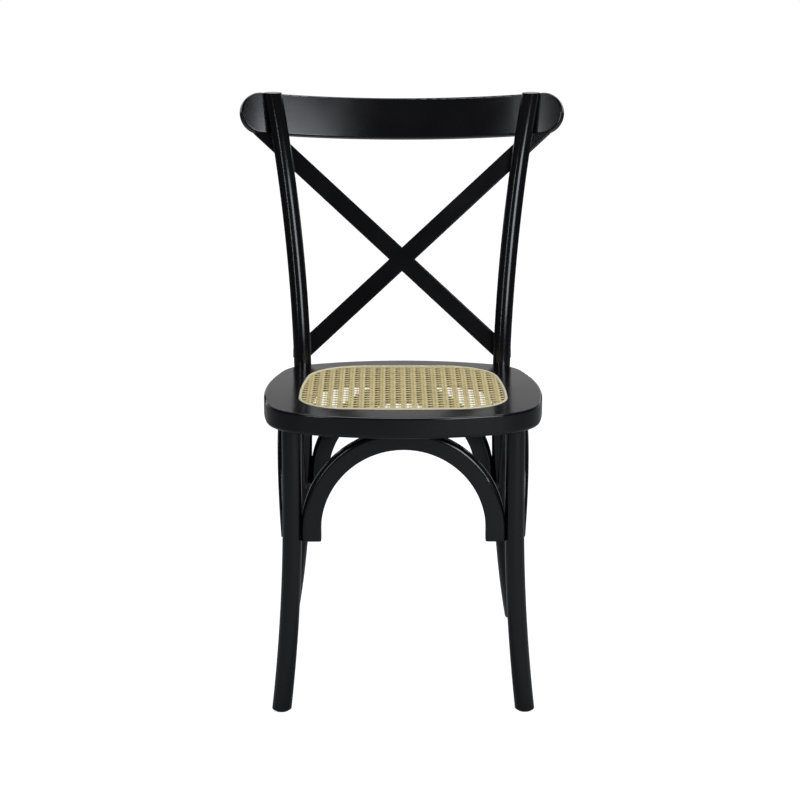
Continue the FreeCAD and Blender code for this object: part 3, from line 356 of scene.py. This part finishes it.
# The pitch from pair to pair, the gap between the strands of a pair, and how far the strands
# rise and fall from the sheet's middle height. The highest ones lie level with the wood.
CANE_PITCH, PAIR_GAP = 0.0157, 0.0042
PAIR_LIFT, CROSS_LIFT = 0.00028, 0.00055
STRAND_WIDTH, STRAND_THICK = 0.0033, 0.00055
CANE_MIDDLE = SEAT_TOP - CROSS_LIFT - STRAND_THICK / 2
CANE_CENTRE = np.array([0.0, SEAT_FRONT + CANE_MARGIN + CANE_DEPTH / 2])


# An edge that a line meets at less than this rate is parallel to it.
PARALLEL = 1e-12


def chords(starts, along, outline):
    """Where lines cross a convex outline: the nearest bound of its edges each way along them."""
    edge = np.roll(outline, -1, axis=0) - outline
    outward = np.stack([edge[:, 1], -edge[:, 0]], -1)
    rate = outward @ along
    reach = np.einsum("ed,ed->e", outward, outline)[None] - starts @ outward.T
    with np.errstate(divide="ignore"):
        bound = reach / rate[None]
    last = np.where(rate[None] > PARALLEL, bound, np.inf).min(1)
    first = np.where(rate[None] < -PARALLEL, bound, -np.inf).max(1)
    return first, last


def lay_uv(item, name, places):
    """UV layer that gives each vertex its own place (n, 2)."""
    mesh = item.data
    layer = mesh.uv_layers.new(name=name)
    vertex = np.zeros(len(mesh.loops), np.int32)
    mesh.loops.foreach_get("vertex_index", vertex)
    layer.data.foreach_set("uv", places[vertex].astype(np.float32).ravel())


# A strand's section has five points: flat below and crowned above.
SECTION_ACROSS = np.array([-0.5, 0.5, 0.36, 0.0, -0.36]) * STRAND_WIDTH
SECTION_CROWN = np.array([-0.35, -0.35, 0.35, 0.5, 0.35]) * STRAND_THICK
SECTION = len(SECTION_ACROSS)
STRAND_SAMPLES = 180
# The strands end in the groove, just past the inner edge of the spline.
STRAND_END, OUTLINE_POINTS = GROOVE - STRAND_THICK * 3, 720
# Each strand sways sideways from a random start: by how much, and in radians to the metre.
SWAY, SWAY_RATE, SWAY_START = 0.00012, 47, 6.3


def strands(name, material, sets):
    """One mesh of flat strands with a crowned back, each carried along a straight chord.

    The height at a point of a chord is the weave's wave there. A vertex's UV is its length
    along the strand and the strand's own random tone.
    """
    outline = cane_line(STRAND_END, OUTLINE_POINTS)
    blocks, faces, shades, base = [], [], [], 0
    rng = np.random.default_rng(7)
    for starts, along, wave in sets:
        along = np.array(along) / np.hypot(*along)
        first, last = chords(starts, along, outline)
        keep = last - first > CANE_PITCH
        starts, first, last = starts[keep], first[keep], last[keep]
        count = len(starts)
        run = first[:, None] + (last - first)[:, None] * np.linspace(0, 1, STRAND_SAMPLES)
        plan = starts[:, None] + run[..., None] * along
        sway = SWAY * np.sin(run * SWAY_RATE + rng.uniform(0, SWAY_START, (count, 1)))
        side = np.array([along[1], -along[0]])
        flat = plan[:, :, None] + (SECTION_ACROSS + sway[..., None])[..., None] * side
        height = CANE_MIDDLE + wave(plan, keep)[..., None] + SECTION_CROWN
        blocks.append(np.concatenate([flat, height[..., None]], -1).reshape(-1, 3))
        index = np.arange(count * STRAND_SAMPLES * SECTION) + base
        index = index.reshape(count, STRAND_SAMPLES, SECTION)
        beside = np.roll(index, -1, axis=2)
        quads = np.stack([index[:, :-1], beside[:, :-1], beside[:, 1:], index[:, 1:]], -1)
        faces.append(quads.reshape(-1, 4))
        tone = np.repeat(rng.uniform(0, 1, count), STRAND_SAMPLES * SECTION)
        shades.append(np.stack([np.repeat(run.reshape(-1), SECTION), tone], -1))
        base += index.size
    item = smooth_mesh(name, np.concatenate(blocks), np.concatenate(faces), material)
    lay_uv(item, "strand", np.concatenate(shades))
    return item


def cane_skin():
    """Split rattan skin: dull straw colour, with fibres along it and a few darker strands."""
    material, tree = empty_material("split_rattan_cane")
    strand = add(tree, "UVMap", uv_map="strand")
    parts = add(tree, "SeparateXYZ", {"Vector": strand.outputs[0]})
    place = add(tree, "TexCoord").outputs["Object"]
    # Fibres are streaks 17 mm long. Each strand has its own place across the noise.
    fibre_place = add(tree, "Mapping", {"Vector": strand.outputs[0], "Scale": (60.0, 900.0, 1.0)})
    fibre = add(tree, "TexNoise", {"Vector": fibre_place.outputs[0], "Scale": 1.0, "Detail": 3.0})
    patch = add(tree, "TexNoise", {"Vector": place, "Scale": 60.0, "Detail": 2.0})
    ramp = add(tree, "ValToRGB", {"Fac": parts.outputs["Y"]})
    ramp.color_ramp.elements[0].color = colour("#97804a")
    ramp.color_ramp.elements[1].color = colour("#e4d5a4")
    middle = ramp.color_ramp.elements.new(0.35)
    middle.color = colour("#c8b57c")
    streak = blend(tree, fibre.outputs[0], ramp.outputs[0], colour("#b49d60"))
    warm = blend(tree, patch.outputs[0], streak, colour("#dccd9a"))
    relief = add(tree, "Bump", {"Height": fibre.outputs[0], "Strength": 0.4, "Distance": 0.00005})
    skin = add(tree, "BsdfPrincipled", {"Base Color": warm, "Roughness": 0.6,
                                        "Specular IOR Level": 0.25, "Normal": relief.outputs[0]})
    add(tree, "OutputMaterial", {"Surface": skin.outputs[0]})
    return material


def pair_wave(distance, sign):
    """A strand of a pair goes over one strand of a crossing pair and under the other."""
    near = (distance + CANE_PITCH / 2) % CANE_PITCH - CANE_PITCH / 2
    return np.where(abs(near) < PAIR_GAP, sign * PAIR_LIFT * np.sin(math.pi * near / PAIR_GAP), 0)


# How much the crests of a diagonal's wave are flattened.
CREST = 2.2


def diagonal_wave(distance, sign):
    """A diagonal goes over the pairs that run one way and under those that run the other.

    The wave is a cosine whose crests are flattened by tanh, so that it rests on each pair.
    """
    swing = np.cos(2 * math.pi * distance / CANE_PITCH)
    return sign * CROSS_LIFT * np.tanh(CREST * swing) / math.tanh(CREST)


# Rows of pairs each way from the middle, and diagonals each way: more than cross the seat.
ROWS, DIAGONALS = 12, 24
rows = np.arange(-ROWS, ROWS + 1) * CANE_PITCH
pairs = (rows[:, None] + np.array([-0.5, 0.5]) * PAIR_GAP).ravel()
pair_sign = np.tile([-1.0, 1.0], len(rows))
slants = (np.arange(-DIAGONALS, DIAGONALS) + 0.5) * CANE_PITCH
lengthwise = np.stack([pairs, np.zeros_like(pairs)], -1) + CANE_CENTRE
crosswise = np.stack([np.zeros_like(pairs), pairs], -1) + CANE_CENTRE
diagonals = np.stack([slants, np.zeros_like(slants)], -1) + CANE_CENTRE
rattan = cane_skin()
straight = strands("cane_straight_strands", rattan, [
    (lengthwise, (0, 1), lambda p, k: pair_wave(p[..., 1] - CANE_CENTRE[1], pair_sign[k][:, None])),
    (crosswise, (1, 0), lambda p, k: pair_wave(p[..., 0] - CANE_CENTRE[0], -pair_sign[k][:, None])),
])
slanting = strands("cane_diagonal_strands", rattan, [
    (diagonals, (1, 1), lambda p, k: diagonal_wave(p[..., 0] - CANE_CENTRE[0], -1.0)),
    (diagonals, (1, -1), lambda p, k: diagonal_wave(p[..., 0] - CANE_CENTRE[0], 1.0)),
])
for piece in (straight, slanting):
    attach(piece, "root")
    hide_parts("cane_webbing")


# The spline: a length of reed, glued into the groove over the edge of the cane. It stands a
# little proud and is rounded on top. The joint of its ends isn't drawn.
def reed():
    """Peeled reed core: pale, matte, with long open pores along it."""
    material, tree = empty_material("peeled_reed")
    run = add(tree, "UVMap", uv_map="run")
    place = add(tree, "TexCoord").outputs["Object"]
    # Vessels of reed are streaks 8 mm long and 0.4 mm wide.
    vessel_place = add(tree, "Mapping", {"Vector": run.outputs[0], "Scale": (120.0, 2600.0, 1.0)})
    vessel = add(tree, "TexNoise", {"Vector": vessel_place.outputs[0], "Scale": 1.0, "Detail": 3.0})
    patch = add(tree, "TexNoise", {"Vector": place, "Scale": 35.0, "Detail": 2.0})
    tint = blend(tree, patch.outputs[0], colour("#dfd8b6"), colour("#ebe6cc"))
    lined = blend(tree, vessel.outputs[0], tint, colour("#d0c79c"))
    relief = add(tree, "Bump", {"Height": vessel.outputs[0], "Strength": 0.5, "Distance": 0.00006})
    core = add(tree, "BsdfPrincipled", {"Base Color": lined, "Roughness": 0.7,
                                        "Specular IOR Level": 0.25, "Normal": relief.outputs[0]})
    add(tree, "OutputMaterial", {"Surface": core.outputs[0]})
    return material


SPLINE_LOW, SPLINE_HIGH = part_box("cane_spline")[0].z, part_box("cane_spline")[1].z
# The reed fills the groove but for the cane at its inner wall, with a little room on each side.
CANE_ROOM, SIDE_ROOM = 0.0014, 0.00015
SPLINE_OUTER, SPLINE_INNER = SIDE_ROOM, GROOVE - CANE_ROOM - SIDE_ROOM
# The height of its rounded top, and the step of its UV from point to point across.
DOME, RUN_ACROSS = 0.0021, 0.0006
SPLINE_ROWS, DOME_POINTS = 480, 9


def spline_ring():
    """The reed: a section of eleven points carried round the groove's line.

    The section has a foot on each side. Its top is half an ellipse: at an angle t a point is
    the middle plus half the width times cos t across, and DOME times sin t up.
    """
    turns = np.linspace(math.pi, 0, DOME_POINTS)
    middle, half = (SPLINE_OUTER + SPLINE_INNER) / 2, (SPLINE_INNER - SPLINE_OUTER) / 2
    insets = [SPLINE_OUTER, *(middle + half * math.cos(t) for t in turns), SPLINE_INNER]
    heights = [SPLINE_LOW, *(SPLINE_HIGH - DOME + DOME * math.sin(t) for t in turns), SPLINE_LOW]
    lines = [np.insert(cane_line(inset, SPLINE_ROWS), 2, height, axis=1)
             for inset, height in zip(insets, heights)]
    item = grid_mesh("reed_spline", np.stack(lines, 1)[:, ::-1], reed(), closed=True)
    length = np.hypot(*(np.roll(lines[0], -1, axis=0) - lines[0])[:, :2].T).sum()
    row, column = np.divmod(np.arange(SPLINE_ROWS * len(lines)), len(lines))
    lay_uv(item, "run", np.stack([row / SPLINE_ROWS * length, column * RUN_ACROSS], -1))
    return item


spline = spline_ring()
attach(spline, "root")
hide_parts("cane_spline")
